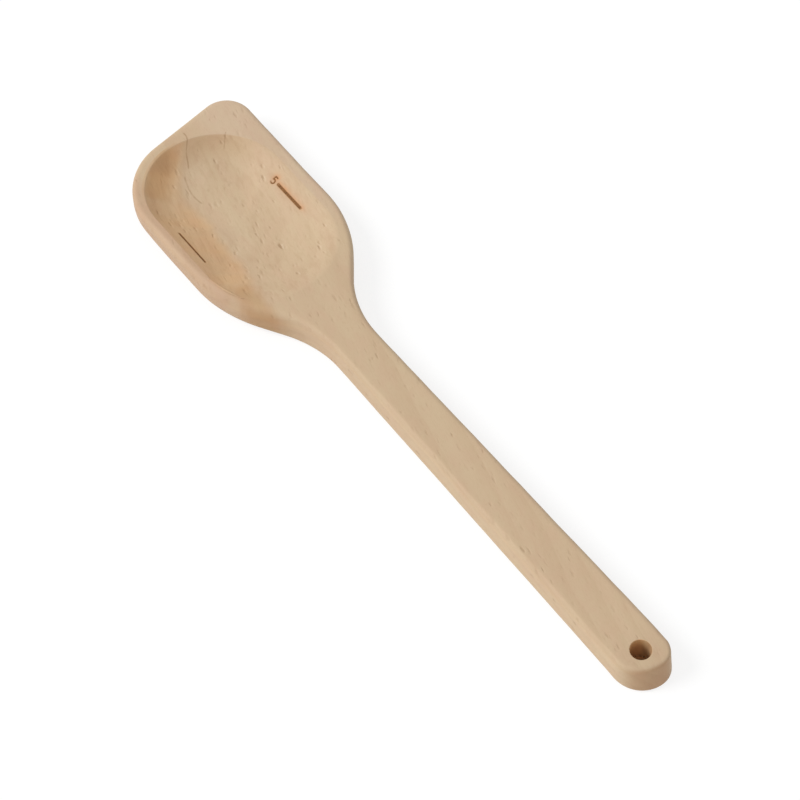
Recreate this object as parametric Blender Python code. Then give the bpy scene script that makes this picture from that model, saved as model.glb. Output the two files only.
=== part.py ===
"""Measuring spatula carved from one beech board, with burned level marks in its bowl.

Units are metres, +X points from the handle to the tip, +Y to the user's left and +Z up.
The origin lies under the middle of the spatula's box, on the surface that it rests on.
"""

import math

import bmesh
import bpy
import numpy as np

# Board
OVERALL_LENGTH = 0.280
BOARD_THICKNESS = 0.0120

# Handle, measured along the spatula from the handle's round end
HANDLE_END_WIDTH = 0.0200
HANDLE_NECK_WIDTH = 0.0162
HANDLE_END_RADIUS = 0.0091
NECK_STATION = 0.1753
NECK_RADIUS = 0.0394
HANDLE_OFFSET = 0.0011

# Head
HEAD_WIDTH = 0.0601
SHOULDER_STATION = 0.2057
SHOULDER_RADIUS = 0.0463
TIP_RADIUS = 0.0104
FRONT_LEFT_RADIUS = 0.0252
FRONT_SLANT = math.radians(8.0)

# Sanded edges and the thinned front
TOP_EDGE_RADIUS = 0.0021
HANDLE_UNDER_RADIUS = 0.0028
HEAD_UNDER_RADIUS = 0.0056
LIP_THICKNESS = 0.0033
LIP_LENGTH = 0.042

# Bowl
RIM_LEFT = 0.0036
RIM_RIGHT = 0.0049
RIM_FRONT = 0.0076
BOWL_LENGTH = 0.0805
BOWL_FLOOR = 0.0049
BOWL_FULLNESS = 2.2
BOWL_REAR_RADIUS = 0.0238
BOWL_FRONT_LEFT_RADIUS = 0.0230
BOWL_FRONT_RIGHT_RADIUS = 0.0280

# Hanging hole
HOLE_RADIUS = 0.0037
HOLE_FROM_END = 0.0104

# Burned marks
LEFT_MARK_DEPTH = 0.0021
RIGHT_MARK_DEPTH = 0.0033
LEFT_MARK_LENGTH = 0.0159
RIGHT_MARK_LENGTH = 0.0134
MARK_WIDTH = 0.0010
CHAR_DEPTH = 0.0005
NUMBER = "5"
NUMBER_HEIGHT = 0.0028
NUMBER_SPACE = 0.0051
GAP = 0.0003

# Fineness of the mesh
ARC_STEP = math.radians(6.0)
EDGE_STEPS = 4
LIP_STEPS = 9
BOWL_STEPS = 11
HOLE_SIDES = 48
CUT_ROOM = 0.004

# Worked out from the sizes above
head_half = HEAD_WIDTH / 2
end_half = HANDLE_END_WIDTH / 2
neck_half = HANDLE_NECK_WIDTH / 2
end_radius = min(HANDLE_END_RADIUS, 0.97 * end_half)
edge_limit = min(0.8 * end_radius, 0.8 * TIP_RADIUS, 0.45 * BOARD_THICKNESS, 0.8 * neck_half)
lip_start = OVERALL_LENGTH - LIP_LENGTH
bowl_depth = BOARD_THICKNESS - BOWL_FLOOR
bowl_left = head_half - RIM_LEFT
bowl_right = -head_half + RIM_RIGHT
bowl_front = OVERALL_LENGTH - RIM_FRONT
bowl_rear = bowl_front - BOWL_LENGTH
bowl_middle = ((bowl_rear + bowl_front) / 2, (bowl_left + bowl_right) / 2)
bowl_half_width = (bowl_left - bowl_right) / 2


def clear_scene():
    for item in list(bpy.data.objects):
        bpy.data.objects.remove(item, do_unlink=True)


def new_collection(name):
    collection = bpy.data.collections.new(name)
    bpy.context.scene.collection.children.link(collection)
    return collection


def principled(name, colour, roughness):
    material = bpy.data.materials.new(name)
    material.use_nodes = True
    shader = material.node_tree.nodes["Principled BSDF"]
    shader.inputs["Base Color"].default_value = (*colour, 1.0)
    shader.inputs["Roughness"].default_value = roughness
    shader.inputs["Metallic"].default_value = 0.0
    return material


def add_object(name, mesh, collection, material=None):
    item = bpy.data.objects.new(name, mesh)
    collection.objects.link(item)
    if material is not None:
        mesh.materials.append(material)
        mesh.shade_smooth()
        mesh.set_sharp_from_angle(angle=math.radians(35))
    else:
        item.hide_render = True
        item.display_type = "WIRE"
    return item


def to_world(station):
    """X of a point that lies this far along the spatula from the handle's end."""
    return station - OVERALL_LENGTH / 2


def smooth_step(value, low, high):
    share = np.clip((value - low) / (high - low), 0.0, 1.0)
    return share * share * (3 - 2 * share)


def rounded_outline(corners):
    """Points and outward normals of a polygon whose corners are replaced by arcs.

    corners is a list of (station, y, radius), anticlockwise. A corner's arc is cut back
    where its two sides are too short for it.
    """
    spots = np.array([corner[:2] for corner in corners])
    points, normals = [], []
    for index, (_, _, radius) in enumerate(corners):
        before = spots[index - 1] - spots[index]
        after = spots[(index + 1) % len(spots)] - spots[index]
        room = 0.499 * min(np.linalg.norm(before), np.linalg.norm(after))
        before /= np.linalg.norm(before)
        after /= np.linalg.norm(after)
        half = math.acos(np.clip(before @ after, -1, 1)) / 2
        radius = min(radius, room * math.tan(half))
        bisector = (before + after) / np.linalg.norm(before + after)
        centre = spots[index] + bisector * radius / math.sin(half)
        turn = math.copysign(math.pi - 2 * half, after[0] * before[1] - after[1] * before[0])
        first = spots[index] + before * radius / math.tan(half) - centre
        steps = max(2, round(abs(turn) / ARC_STEP))
        angles = math.atan2(first[1], first[0]) + turn * np.linspace(0, 1, steps + 1)
        ring = np.column_stack([np.cos(angles), np.sin(angles)])
        points.append(centre + radius * ring)
        normals.append(ring * math.copysign(1, turn))
    return np.vstack(points), np.vstack(normals)


def board_outline():
    """The spatula seen from above: long handle, curved shoulders, slanted front edge."""
    tip = OVERALL_LENGTH - TIP_RADIUS + TIP_RADIUS * (1 + math.sin(FRONT_SLANT)) / math.cos(FRONT_SLANT)
    front_left = tip - HEAD_WIDTH * math.tan(FRONT_SLANT)
    axis = HANDLE_OFFSET
    return rounded_outline([
        (0.0, axis - end_half, end_radius),
        (NECK_STATION, axis - neck_half, NECK_RADIUS),
        (SHOULDER_STATION, -head_half, SHOULDER_RADIUS),
        (tip, -head_half, TIP_RADIUS),
        (front_left, head_half, FRONT_LEFT_RADIUS),
        (SHOULDER_STATION, head_half, SHOULDER_RADIUS),
        (NECK_STATION, axis + neck_half, NECK_RADIUS),
        (0.0, axis + end_half, end_radius),
    ])


def bowl_outline():
    """The bowl's rim seen from above: an egg made of four unlike corners."""
    points, _ = rounded_outline([
        (bowl_rear, bowl_right, BOWL_REAR_RADIUS),
        (bowl_front, bowl_right, BOWL_FRONT_RIGHT_RADIUS),
        (bowl_front, bowl_left, BOWL_FRONT_LEFT_RADIUS),
        (bowl_rear, bowl_left, BOWL_REAR_RADIUS),
    ])
    return points


def loft(rings):
    """A closed bmesh through rings of equally many points, lowest ring first."""
    bm = bmesh.new()
    rows = [[bm.verts.new(point) for point in ring] for ring in rings]
    for lower, upper in zip(rows, rows[1:]):
        for index in range(len(lower)):
            following = (index + 1) % len(lower)
            bm.faces.new((lower[index], lower[following], upper[following], upper[index]))
    bm.faces.new(list(reversed(rows[0])))
    bm.faces.new(rows[-1])
    return bm


def finish_mesh(bm, name):
    mesh = bpy.data.meshes.new(name)
    bm.to_mesh(mesh)
    bm.free()
    return mesh


def ring_at(points, normals, inset, height):
    flat = points - normals * inset[:, None]
    return np.column_stack([to_world(flat[:, 0]), flat[:, 1], height])


def board_mesh():
    """The board with sanded edges: its outline drawn in along quarter circles.

    The lower edge is rounder under the head than under the handle. At the front the
    underside rises by the square of the way into the lip, down to the lip's thickness.
    """
    points, normals = board_outline()
    head_share = smooth_step(points[:, 0], NECK_STATION, SHOULDER_STATION)
    under = HANDLE_UNDER_RADIUS + (HEAD_UNDER_RADIUS - HANDLE_UNDER_RADIUS) * head_share
    under = np.minimum(under, edge_limit)
    top = np.full(len(points), min(TOP_EDGE_RADIUS, edge_limit))
    quarter = np.linspace(0, math.pi / 2, EDGE_STEPS + 1)
    rings = [ring_at(points, normals, under * (1 - math.sin(a)), under * (1 - math.cos(a))) for a in quarter]
    rings += [
        ring_at(points, normals, top * (1 - math.cos(a)), BOARD_THICKNESS - top * (1 - math.sin(a)))
        for a in quarter
    ]
    bm = loft(rings)
    bmesh.ops.remove_doubles(bm, verts=bm.verts, dist=1e-6)
    for station in np.linspace(lip_start, OVERALL_LENGTH, LIP_STEPS, endpoint=False):
        bmesh.ops.bisect_plane(
            bm, geom=bm.verts[:] + bm.edges[:] + bm.faces[:], dist=1e-6,
            plane_co=(to_world(station), 0, 0), plane_no=(1, 0, 0),
        )
    for vert in bm.verts:
        way_in = max(0.0, (vert.co.x - to_world(lip_start)) / LIP_LENGTH)
        rise = (BOARD_THICKNESS - LIP_THICKNESS) * way_in ** 2
        vert.co.z = rise + vert.co.z * (BOARD_THICKNESS - rise) / BOARD_THICKNESS
    return finish_mesh(bm, "spatula_body")


def bowl_cutter(collection):
    """The bowl: its rim drawn in towards the middle while its depth follows a power curve."""
    rim = bowl_outline()
    shares = np.cos(np.linspace(0, math.pi / 2, BOWL_STEPS + 1)[:-1])
    rings = []
    for share in shares[::-1]:
        flat = np.array(bowl_middle) + share * (rim - bowl_middle)
        height = np.full(len(flat), BOARD_THICKNESS - bowl_depth * (1 - share ** BOWL_FULLNESS))
        rings.append(np.column_stack([to_world(flat[:, 0]), flat[:, 1], height]))
    rings.append(rings[-1] + [0, 0, CUT_ROOM])
    bm = loft(rings)
    bmesh.ops.remove_doubles(bm, verts=bm.verts, dist=1e-6)
    return add_object("bowl_cutter", finish_mesh(bm, "bowl_cutter"), collection)


def hole_cutter(collection):
    bm = bmesh.new()
    bmesh.ops.create_cone(
        bm, cap_ends=True, segments=HOLE_SIDES, radius1=HOLE_RADIUS, radius2=HOLE_RADIUS,
        depth=BOARD_THICKNESS + 2 * CUT_ROOM,
    )
    cutter = add_object("hole_cutter", finish_mesh(bm, "hole_cutter"), collection)
    cutter.location = (to_world(HOLE_FROM_END), HANDLE_OFFSET, BOARD_THICKNESS / 2)
    return cutter


def wall_spot(side, depth):
    """Y, Z and slope of the bowl's side wall, this far below the rim; side is +1 for left."""
    share = (1 - depth / bowl_depth) ** (1 / BOWL_FULLNESS)
    y = bowl_middle[1] + side * share * bowl_half_width
    slope = math.atan(bowl_depth * BOWL_FULLNESS * share ** (BOWL_FULLNESS - 1) / bowl_half_width)
    return y, BOARD_THICKNESS - depth, slope


def lay_on_wall(item, station, side, depth, sink):
    """Turns an object to the wall's slope and sinks its middle into the wood."""
    y, z, slope = wall_spot(side, depth)
    item.rotation_euler = (side * slope, 0, 0)
    item.location = (
        to_world(station), y + side * sink * math.sin(slope), z - sink * math.cos(slope)
    )


def block_mesh(name, length, width, height):
    bm = bmesh.new()
    bmesh.ops.create_cube(bm, size=1.0)
    bmesh.ops.scale(bm, vec=(length, width, height), verts=bm.verts)
    return finish_mesh(bm, name)


def burned_line(name, station, side, depth, length, parts, cutters, material):
    """A bar of charred wood, and the groove that leaves a gap round it."""
    bar = add_object(name, block_mesh(name, length, MARK_WIDTH, CHAR_DEPTH), parts, material)
    lay_on_wall(bar, station, side, depth, CHAR_DEPTH / 2)
    groove_depth = CHAR_DEPTH + GAP
    groove = add_object(
        name + "_groove",
        block_mesh(name + "_groove", length + 2 * GAP, MARK_WIDTH + 2 * GAP, 2 * groove_depth),
        cutters,
    )
    lay_on_wall(groove, station, side, depth, 0.0)
    return groove


def number_mesh(name, grown, height):
    """The number as an upright solid, its strokes grown by this much on every side."""
    text = bpy.data.curves.new(name, type="FONT")
    text.body = NUMBER
    text.size = NUMBER_HEIGHT / 0.7
    text.align_x = "CENTER"
    text.align_y = "CENTER"
    text.extrude = height / 2
    text.offset = grown
    text.resolution_u = 3
    holder = bpy.data.objects.new(name, text)
    bpy.context.scene.collection.objects.link(holder)
    bpy.context.view_layer.update()
    evaluated = holder.evaluated_get(bpy.context.evaluated_depsgraph_get())
    mesh = bpy.data.meshes.new_from_object(evaluated)
    bpy.data.objects.remove(holder)
    bm = bmesh.new()
    bm.from_mesh(mesh)
    bpy.data.meshes.remove(mesh)
    bmesh.ops.remove_doubles(bm, verts=bm.verts, dist=1e-6)
    return finish_mesh(bm, name)


def burned_number(name, station, depth, parts, cutters, material):
    """The number on the right wall, read from the left with its top towards the rim."""
    figure = add_object(name, number_mesh(name, 0.0, CHAR_DEPTH), parts, material)
    groove = add_object(name + "_groove", number_mesh(name + "_groove", GAP, 2 * (CHAR_DEPTH + GAP)), cutters)
    for item, sink in ((figure, CHAR_DEPTH / 2), (groove, 0.0)):
        lay_on_wall(item, station, -1, depth, sink)
        item.rotation_euler = (-item.rotation_euler.x, 0, math.pi)
    return groove


def cut(item, cutter):
    modifier = item.modifiers.new(cutter.name, "BOOLEAN")
    modifier.operation = "DIFFERENCE"
    modifier.solver = "EXACT"
    modifier.object = cutter


def build():
    clear_scene()
    parts = new_collection("measuring_spatula")
    cutters = new_collection("cutters")
    beech = principled("beech", (0.584, 0.439, 0.296), 0.55)
    char = principled("charred_beech", (0.150, 0.060, 0.025), 0.75)
    body = add_object("spatula_body", board_mesh(), parts, beech)
    middle = bowl_middle[0]
    right_rear = middle - (RIGHT_MARK_LENGTH + NUMBER_SPACE) / 2
    number_station = right_rear + RIGHT_MARK_LENGTH + NUMBER_SPACE / 2
    cut(body, bowl_cutter(cutters))
    cut(body, hole_cutter(cutters))
    cut(body, burned_line(
        "measure_line_left", middle, 1, LEFT_MARK_DEPTH, LEFT_MARK_LENGTH, parts, cutters, char))
    cut(body, burned_line(
        "measure_line_right", right_rear + RIGHT_MARK_LENGTH / 2, -1, RIGHT_MARK_DEPTH,
        RIGHT_MARK_LENGTH, parts, cutters, char))
    cut(body, burned_number("measure_number", number_station, RIGHT_MARK_DEPTH, parts, cutters, char))


build()
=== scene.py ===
"""Looks of the beech measuring spatula: carved body, burned marks, floor, light and camera.

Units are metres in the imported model's frame: +X from the handle to the tip, +Y to the left, +Z up.
A station is a distance along the spatula from the handle's round end. Materials count in millimetres.
A pair named for a fade, an edge, a start or a stop says where a change begins and where it is complete.
"""

import math
from types import SimpleNamespace

import bmesh
import bpy
import numpy as np
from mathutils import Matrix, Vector


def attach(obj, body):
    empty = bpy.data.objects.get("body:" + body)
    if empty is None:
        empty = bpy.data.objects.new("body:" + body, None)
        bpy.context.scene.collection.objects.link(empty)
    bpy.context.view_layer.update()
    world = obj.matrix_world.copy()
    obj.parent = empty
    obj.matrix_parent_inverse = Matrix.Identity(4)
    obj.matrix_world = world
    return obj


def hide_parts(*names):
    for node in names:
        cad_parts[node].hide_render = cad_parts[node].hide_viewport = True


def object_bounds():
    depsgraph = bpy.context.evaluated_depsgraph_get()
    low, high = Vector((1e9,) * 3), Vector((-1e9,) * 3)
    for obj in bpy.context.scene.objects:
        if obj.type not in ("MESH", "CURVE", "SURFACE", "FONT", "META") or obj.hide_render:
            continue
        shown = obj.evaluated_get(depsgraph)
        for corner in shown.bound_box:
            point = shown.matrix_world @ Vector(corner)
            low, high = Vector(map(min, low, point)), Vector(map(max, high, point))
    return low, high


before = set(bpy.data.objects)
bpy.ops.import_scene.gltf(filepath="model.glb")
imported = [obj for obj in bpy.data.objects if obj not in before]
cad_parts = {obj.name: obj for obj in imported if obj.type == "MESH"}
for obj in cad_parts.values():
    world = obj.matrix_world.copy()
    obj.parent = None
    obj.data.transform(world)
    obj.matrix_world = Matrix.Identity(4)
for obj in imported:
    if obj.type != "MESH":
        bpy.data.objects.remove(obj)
cad_low, cad_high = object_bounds()

# Board
OVERALL_LENGTH = cad_high.x - cad_low.x
HEAD_WIDTH = cad_high.y - cad_low.y
BOARD_THICKNESS = cad_high.z - cad_low.z

# Handle
HANDLE_END_WIDTH = 0.0200
HANDLE_NECK_WIDTH = 0.0162
END_RIGHT_RADIUS = 0.0078
END_LEFT_RADIUS = 0.0119
NECK_STATION = 0.1753
NECK_RADIUS = 0.0394
HANDLE_OFFSET = 0.0011

# Head
SHOULDER_STATION = 0.2057
SHOULDER_RADIUS = 0.0463
TIP_RADIUS = 0.0104
FRONT_LEFT_RADIUS = 0.0252
FRONT_SLANT = math.radians(8.0)

# Sanded edges and the thinned front
TOP_EDGE_RADIUS = 0.0021
HANDLE_UNDER_RADIUS = 0.0028
HEAD_UNDER_RADIUS = 0.0056
LIP_THICKNESS = 0.0033
LIP_LENGTH = 0.042
SHOULDER_SOFTENING = 0.0020
SHOULDER_SOFT_START = (0.168, 0.186)
SHOULDER_SOFT_STOP = (0.205, 0.235)
EDGE_WANDER = 0.12
EDGE_WAVE = 0.011
HAND_SANDING = 0.00004
OUTLINE_WAVE = 0.009
BOWL_WAVES = (0.004, 0.005)

# Top of the handle's end, with fades by the way that its outline faces
END_REACH = 0.018
END_UNDER_RADIUS = 0.0012
END_EDGE_RIGHT = 0.0009
END_EDGE_LEFT = 0.0022
END_EDGE_FADE = (-0.4, 1.0)
END_LEAN = 0.0012
END_EXTRA_LEAN = 0.0009
END_EXTRA_FADE = (-0.2, 1.0)
LEFT_CORNER_WAY = np.array([-0.8, 0.6])
LEFT_CORNER_FADE = (-1.2, -0.1)
RIGHT_CORNER_WAY = np.array([-1.0, -0.6])
RIGHT_CORNER_FADE = (-0.9, 0.9)

# Bowl, with fades by the cosine of the angle from a bearing
RIM_LEFT = 0.0036
RIM_RIGHT = 0.0049
RIM_FRONT = 0.0076
BOWL_LENGTH = 0.0805
BOWL_FLOOR = 0.0049
BOWL_FULLNESS = 2.2
FRONT_FULLNESS = 3.4
REAR_FULLNESS = 2.0
FRONT_BEARING = math.radians(5)
FRONT_FADE = (0.42, 0.90)
REAR_FADE = (0.5, 0.9)
BOWL_REAR_RADIUS = 0.0238
BOWL_FRONT_LEFT_RADIUS = 0.0230
BOWL_FRONT_RIGHT_RADIUS = 0.0280
CRISP_RIM_EASE = 0.00006
SOFT_RIM_EASE = 0.0007
CRISP_BEARING = math.radians(50)
CRISP_FADE = (-0.45, 0.25)

# Hanging hole
HOLE_RADIUS = 0.0037
HOLE_FROM_END = 0.0104
HOLE_EASE = 0.0002
HOLE_UNDER_EASE = 0.00012
# The bore's lit side, which gets painted shade, lies this way from the hole's middle
BORE_SHADE_BEARING = math.radians(-128)

# Burned marks
LEFT_MARK_DEPTH = 0.0021
RIGHT_MARK_DEPTH = 0.0033
LEFT_MARK_LENGTH = 0.0159
RIGHT_MARK_LENGTH = 0.0134
LEFT_MARK_WIDTH = 0.00072
RIGHT_MARK_WIDTH = 0.0010
NUMBER_HEIGHT = 0.0028
NUMBER_SPACE = 0.0051
NUMBER_STROKE = 0.00038
GROOVE_DEPTH = 0.00018
GROOVE_EDGE = (-0.0001, 0.00008)
BURN_BOX = 0.014
SCORCH_REACH = 0.00015
GLOW_REACH = 0.0010
GLOW_BELOW = 0.2
GLOW_EDGE = (-0.0006, 0.0006)
GLOW_PATCHES = 0.25
GLOW_WAVE = 0.0022
CHAR_RECESS = 0.00007
CHAR_DEPTH = 0.0005
CHAR_OVERLAP = 0.00003
CHAR_RAGGEDNESS = 0.10
CHAR_WAVE = 0.0006

# Colour in the wood, and painted shade and light on it, as stations and Y, and as shares of the way out to
# the bowl's rim
RUB_LINE = ((0.193, 0.0165), (0.2056, 0.0125), (0.2147, 0.0108), (0.2264, 0.0092), (0.2434, 0.0084),
            (0.2510, 0.0092), (0.2584, 0.0079), (0.2640, 0.0040), (0.2724, -0.0040))
RUB_LINE_WANDER = 0.0009
RUB_LINE_WAVE = 0.004
RUB_EDGE = (-0.0005, 0.0050)
RUB_START = (0.198, 0.214)
RUB_WANE_START = (0.244, 0.252)
RUB_WANE = 0.3
RUB_RIM_LOSS = 0.8
RUB_PATCHES = 0.15
RUB_WAVE = 0.003
SHOULDER_STAIN = ((0.2044, 0.0198), (0.1966, 0.0212), (0.1924, 0.0206), (0.1875, 0.0204))
FRONT_STAIN = ((0.2705, 0.0070), (0.2660, 0.0140), (0.2605, 0.0195))
STAIN_EDGE = (0.0015, 0.0065)
STAIN_PATCHES = 0.25
STAIN_WAVE = 0.003
STAIN_LOWEST = 0.001
# The bowl's front wall is darker and browner towards its rim
FRONT_WALL_BEARING = math.radians(12)
FRONT_WALL_FADE = (0.35, 0.80)
FRONT_WALL_EDGE = (0.70, 0.92)
FRONT_WALL_DARKENING = 0.42
# The bowl's front left corner gets painted shade
FRONT_CORNER = (0.2700, 0.0105)
FRONT_CORNER_EDGE = (0.0015, 0.0075)
# The foot of the bowl's left wall gets painted light
PAINTED_LIGHT_FOOT = ((0.2590, 0.0030), (0.2500, 0.0035), (0.2400, 0.0050), (0.2250, 0.0070))
PAINTED_LIGHT_EDGE = (0.002, 0.0085)
BOWL_MARGIN = 1.02
WALL_SLACK = 0.0008
CARVED_FADE = (0.93, 1.0)
RIM_FADE = (0.985, 1.0)
ROUNDED_START = (0.3, 0.65)
ROUNDED_STOP = (0.8, 0.99)
TOP_START = (0.3, 0.9)
# The rounded left edge gets painted shade that hides its highlight; the top round the hanging hole is
# darker too
EDGE_SHADE_STOP = (0.198, 0.225)
END_TOP_STOP = (0.003, 0.022)
END_TOP_TONE = 0.8
# The rim and side left of the bowl get painted shade, a little pinker
LEFT_RIM_SHADE_EDGE = (0.018, 0.026)
LEFT_RIM_SHADE_START = (0.194, 0.208)
PALE_EDGE = (0.004, 0.018)
PALE_START = (0.200, 0.225)
# The bore gets painted light, and its lit side painted shade
BORE_FADE = (0.00002, 0.00012)
BORE_SHADE_FADE = (0.0, 0.8)

# Growth lines that show in the bowl: stations and Y, half width in millimetres, and strength
GROWTH_LINES = (
    (((0.2755, -0.0039), (0.2720, -0.0036), (0.2703, -0.0022), (0.2682, -0.0004), (0.2650, 0.0013),
      (0.2626, 0.0027)), 0.42, 0.62),
    (((0.2617, 0.0053), (0.2596, 0.0062), (0.2573, 0.0069), (0.2534, 0.0075), (0.2483, 0.0067)),
     0.47, 0.52),
    (((0.2660, -0.0168), (0.2633, -0.0142), (0.2612, -0.0124)), 0.50, 0.40),
)

# Fineness of the meshes
ARC_STEP = math.radians(1.5)
HANDLE_SPACING = 0.0013
RIM_SPACING = 0.00065
RIM_SAMPLES = 2000
MARK_SPACING = 0.0002
MARK_MARGIN = 0.0015
CHAR_SPACING = 0.00012
CHAR_FEWEST = 60
CHAR_SIDES = 16
SEAM_AFTER_HOLE = 0.002
SEAM_BEFORE_BOWL = 0.009
RIM_AFTER_SEAM = 0.014
UNDER_SEAM_BEFORE_RIM = 0.012
END_SIDES = 96
EDGE_STEPS = 9
WALL_LEVELS = (0.33, 0.67)
BORE_EDGE_STEPS = 5
BORE_LEVELS = (0.8, 0.6, 0.4, 0.2)
TOP_STEPS = 7
UNDER_STEPS = 10
MERGE_DISTANCE = 2e-7
SLIVER = 1e-8

# Camera, fitted to the outline in the photograph
CAMERA_TARGET = Vector((0.00033, -0.00044, 0.0))
CAMERA_BEARING = math.radians(142.14)
CAMERA_ELEVATION = math.radians(58.0)
CAMERA_DISTANCE = 0.93333
CAMERA_LENS = 119.82
CAMERA_CLIP = (0.05, 20)

# Light, as shares of what falls on a level surface
KEY_DIRECTION = Vector((0.65, 0.90, 1.0)).normalized()
KEY_SHARE = 0.42
KEY_ANGLE = math.radians(30)
SKY_SHARE = 1 - KEY_SHARE

# Studio floor
FLOOR_HALF = 1.5
FLOOR_STEPS = 12
FLOOR_DROP = 0.00005

# Worked out from the sizes above
head_half = HEAD_WIDTH / 2
end_half = HANDLE_END_WIDTH / 2
neck_half = HANDLE_NECK_WIDTH / 2
lip_start = OVERALL_LENGTH - LIP_LENGTH
bowl_depth = BOARD_THICKNESS - BOWL_FLOOR
bowl_left = head_half - RIM_LEFT
bowl_right = -head_half + RIM_RIGHT
bowl_front = OVERALL_LENGTH - RIM_FRONT
bowl_rear = bowl_front - BOWL_LENGTH
bowl_middle = np.array([(bowl_rear + bowl_front) / 2, (bowl_left + bowl_right) / 2])
bowl_half_width = (bowl_left - bowl_right) / 2
hole_middle = np.array([HOLE_FROM_END, HANDLE_OFFSET])
left_mark_station = bowl_middle[0]
right_marks_rear = bowl_middle[0] - (RIGHT_MARK_LENGTH + NUMBER_SPACE) / 2
right_mark_station = right_marks_rear + RIGHT_MARK_LENGTH / 2
number_station = right_marks_rear + RIGHT_MARK_LENGTH + NUMBER_SPACE / 2


def to_world(station):
    """X of a point that lies this far along the spatula from the handle's end."""
    return station + cad_low.x


def smooth_step(value, low, high):
    """0 below low, 1 above high, and three squares less two cubes of the share between them."""
    share = np.clip((value - low) / (high - low), 0.0, 1.0)
    return share * share * (3 - 2 * share)


def mixed(first, last, share):
    """The first value, moved by this share of the way to the last."""
    return first + (last - first) * share


def wander(place, seed, scale):
    """Slow waves between about -1 and 1: three sines of unlike length over an array of places."""
    phase = np.array([0.7, 2.9, 4.6]) * seed
    return (
        np.sin(place / scale + phase[0])
        + 0.6 * np.sin(2.3 * place / scale + phase[1])
        + 0.4 * np.sin(5.1 * place / scale + phase[2])
    ) / 2


def on_circle(angles):
    """Points of the unit circle at these angles from +X."""
    return np.column_stack([np.cos(angles), np.sin(angles)])


def circle(sides):
    """Points of the unit circle at even angles, from +X and back to it."""
    return on_circle(np.linspace(0, 2 * math.pi, sides + 1))


def polar(flat, middle):
    """Distance and bearing of stations and Y from a middle."""
    spokes = flat - middle
    return np.linalg.norm(spokes, axis=-1), np.arctan2(spokes[..., 1], spokes[..., 0])


def unit(vectors):
    """Vectors divided by their own lengths."""
    return vectors / np.linalg.norm(vectors, axis=-1, keepdims=True)


# Outlines


def rounded_outline(corners):
    """Points and outward normals of a polygon whose corners are replaced by arcs.

    corners is a list of (station, y, radius), anticlockwise. An arc starts where a circle of
    its radius touches the side before its corner, and turns by what the two sides leave of
    half a turn.
    """
    spots = np.array([corner[:2] for corner in corners])
    points, normals = [], []
    for index, (_, _, radius) in enumerate(corners):
        before = unit(spots[index - 1] - spots[index])
        after = unit(spots[(index + 1) % len(spots)] - spots[index])
        half = math.acos(np.clip(before @ after, -1, 1)) / 2
        centre = spots[index] + unit(before + after) * radius / math.sin(half)
        turn = math.copysign(math.pi - 2 * half, after[0] * before[1] - after[1] * before[0])
        first = spots[index] + before * radius / math.tan(half) - centre
        steps = max(4, round(abs(turn) / ARC_STEP))
        arc = on_circle(math.atan2(first[1], first[0]) + turn * np.linspace(0, 1, steps + 1))
        points.append(centre + radius * arc)
        normals.append(arc * math.copysign(1, turn))
    return np.vstack(points), np.vstack(normals)


def board_outline():
    """The spatula seen from above: long handle, curved shoulders, slanted front edge."""
    beyond_arc = TIP_RADIUS * ((1 + math.sin(FRONT_SLANT)) / math.cos(FRONT_SLANT) - 1)
    tip = OVERALL_LENGTH + beyond_arc
    front_left = tip - HEAD_WIDTH * math.tan(FRONT_SLANT)
    axis = HANDLE_OFFSET
    return rounded_outline([
        (0.0, axis - end_half, END_RIGHT_RADIUS),
        (NECK_STATION, axis - neck_half, NECK_RADIUS),
        (SHOULDER_STATION, -head_half, SHOULDER_RADIUS),
        (tip, -head_half, TIP_RADIUS),
        (front_left, head_half, FRONT_LEFT_RADIUS),
        (SHOULDER_STATION, head_half, SHOULDER_RADIUS),
        (NECK_STATION, axis + neck_half, NECK_RADIUS),
        (0.0, axis + end_half, END_LEFT_RADIUS),
    ])


def bowl_rim():
    """The bowl's rim from above, an egg of four unlike corners, from its rear and back to it."""
    points, normals = rounded_outline([
        (bowl_rear, bowl_right, BOWL_REAR_RADIUS),
        (bowl_front, bowl_right, BOWL_FRONT_RIGHT_RADIUS),
        (bowl_front, bowl_left, BOWL_FRONT_LEFT_RADIUS),
        (bowl_rear, bowl_left, BOWL_REAR_RADIUS),
    ])
    rear, back = np.array([[bowl_rear, HANDLE_OFFSET]]), np.array([[-1.0, 0.0]])
    return np.vstack([rear, points, rear]), np.vstack([back, normals, back])


def lengths_along(points):
    """Distance along a line of points from its first point to each of them."""
    return np.concatenate([[0.0], np.cumsum(np.linalg.norm(np.diff(points, axis=0), axis=1))])


def at_lengths(rows, lengths, wanted):
    """Rows interpolated at the wanted distances along the line that they belong to."""
    return np.column_stack([np.interp(wanted, lengths, rows[:, axis]) for axis in range(rows.shape[1])])


def first_met(starts, directions, line):
    """Index along a line, with its fraction, where each ray first crosses it.

    A ray crosses between two points of the line where the cross product of its direction
    with the way to them changes sign while they lie ahead of it.
    """
    ways = line[None] - starts[:, None]
    side = directions[:, None, 0] * ways[..., 1] - directions[:, None, 1] * ways[..., 0]
    ahead = (ways * directions[:, None]).sum(axis=2) > 0
    crossed = (side[:, :-1] * side[:, 1:] <= 0) & ahead[:, :-1]
    index = crossed.argmax(axis=1)
    rows = np.arange(len(starts))
    here, there = side[rows, index], side[rows, index + 1]
    return index + here / (here - there)


def rim_lengths(lengths, rim):
    """Distances along the rim for the bowl's columns, closer together beside the burned marks."""
    fine = np.linspace(0, lengths[-1], 2 * RIM_SAMPLES)
    place = at_lengths(rim, lengths, fine)
    beside = np.abs(place[:, 0] - bowl_middle[0]) < LEFT_MARK_LENGTH / 2 + MARK_MARGIN
    density = mixed(1 / RIM_SPACING, 1 / MARK_SPACING, beside)
    total = np.concatenate([[0.0], np.cumsum((density[1:] + density[:-1]) / 2 * np.diff(fine))])
    return np.interp(np.linspace(0, total[-1], round(total[-1]) + 1), total, fine)


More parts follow.
